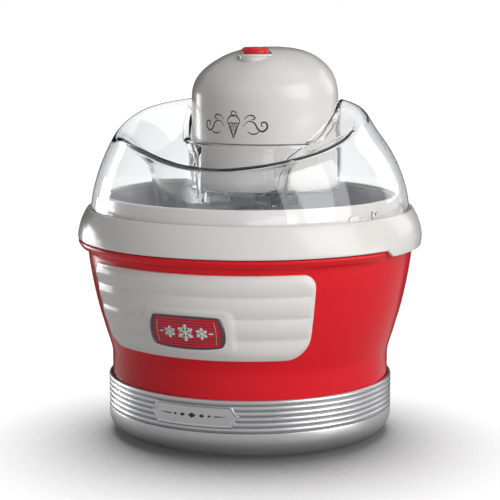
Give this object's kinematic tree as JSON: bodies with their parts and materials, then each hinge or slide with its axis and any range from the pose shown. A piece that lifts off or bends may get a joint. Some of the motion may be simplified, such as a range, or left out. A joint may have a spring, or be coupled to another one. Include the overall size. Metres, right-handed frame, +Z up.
{
  "type": "ice cream maker",
  "caption": "Round ice cream maker: flared housing on a ribbed base, lift-out freezer bowl with locking ring, paddle, clear scooped lid, geared motor unit with push button.",
  "frame": {"origin": "on the table, under the centre of the round body", "axes": "+Z up; the front, with the panel and the badge, faces -Y; +X points to the right as seen from the front"},
  "size_m": [0.225, 0.225, 0.2513],
  "materials": {
    "red": "high gloss",
    "cream": "gloss",
    "silver": "satin",
    "chrome": "polished",
    "badge": "gloss with fine lines",
    "nameplate": "brushed",
    "rubber": "matte",
    "seal": "matte",
    "steel": "plated",
    "aluminium": "satin",
    "gel": "frozen gel",
    "clear": "clear polycarbonate",
    "smoke": "satin",
    "white": "satin",
    "nylon": "satin",
    "black": "fine texture",
    "bronze": "sintered"
  },
  "bodies": {
    "housing": {"outer_body": "red", "front_panel": "cream", "badge_frame": "chrome", "badge_plate": "badge", "base_ring": "silver", "name_plate": "nameplate", "base_plate": "black", "foot_front": "rubber", "foot_right": "rubber", "foot_rear": "rubber", "foot_left": "rubber", "base_screw_1": "steel", "base_screw_2": "steel", "base_screw_3": "steel", "base_screw_4": "steel"},
    "freezer_bowl": {"bowl_inner": "aluminium", "bowl_outer": "white", "coolant_gel": "gel", "bowl_seal": "seal", "fill_plug": "seal"},
    "paddle": {"paddle": "smoke"},
    "locking_ring": {"locking_ring": "cream"},
    "lid": {"lid": "clear"},
    "motor_unit": {"motor_cover": "cream", "motor_base": "cream", "gearbox_plate": "steel", "drive_motor": "steel", "motor_clamp": "steel", "output_bush": "bronze", "reduction_axle": "steel", "cover_screw_1": "steel", "cover_screw_2": "steel", "cover_screw_3": "steel", "clamp_screw_1": "steel", "clamp_screw_2": "steel", "button_bezel": "cream", "power_switch": "black", "button_spring": "steel", "cord_gland": "black"},
    "output_drive": {"output_gear": "nylon", "output_shaft": "steel"},
    "reduction_gear": {"reduction_gear": "nylon"},
    "motor_rotor": {"motor_pinion": "nylon", "motor_shaft": "steel"},
    "power_button": {"power_button": "red"}
  },
  "joints": [
    {"name": "bowl_lift", "type": "slide", "parent": "housing", "child": "freezer_bowl", "axis": [0, 0, 1], "range_m": [0, 0.14]},
    {"name": "ring_lift", "type": "slide", "parent": "freezer_bowl", "child": "locking_ring", "axis": [0, 0, 1], "range_m": [0, 0.11]},
    {"name": "lid_turn", "type": "hinge", "parent": "locking_ring", "child": "lid", "pos_m": [0, 0, 0.144], "axis": [0, 0, 1], "range_deg": [0, 12]},
    {"name": "motor_lift", "type": "slide", "parent": "lid", "child": "motor_unit", "axis": [0, 0, 1], "range_m": [0, 0.1]},
    {"name": "button_press", "type": "slide", "parent": "motor_unit", "child": "power_button", "axis": [0, 0, -1], "range_m": [0, 0.0022], "stiffness_N_per_m": 900, "springref_m": -0.001, "deforming": ["button_spring"]},
    {"name": "paddle_spin", "type": "hinge", "parent": "freezer_bowl", "child": "paddle", "pos_m": [0, 0, 0.09], "axis": [0, 0, 1], "continuous": true},
    {"name": "output_spin", "type": "hinge", "parent": "motor_unit", "child": "output_drive", "pos_m": [0, 0, 0.165], "axis": [0, 0, 1], "continuous": true},
    {"name": "reduction_spin", "type": "hinge", "parent": "motor_unit", "child": "reduction_gear", "pos_m": [0.01605, 0.01354, 0.174], "axis": [0, 0, 1], "continuous": true},
    {"name": "rotor_spin", "type": "hinge", "parent": "motor_unit", "child": "motor_rotor", "pos_m": [0, 0.034, 0.184], "axis": [0, 0, 1], "continuous": true}
  ],
  "couplings": [
    {"joint": "output_spin", "follows": "paddle_spin", "ratio": 1},
    {"joint": "reduction_spin", "follows": "paddle_spin", "ratio": -2.5},
    {"joint": "rotor_spin", "follows": "paddle_spin", "ratio": 8.3333}
  ]
}
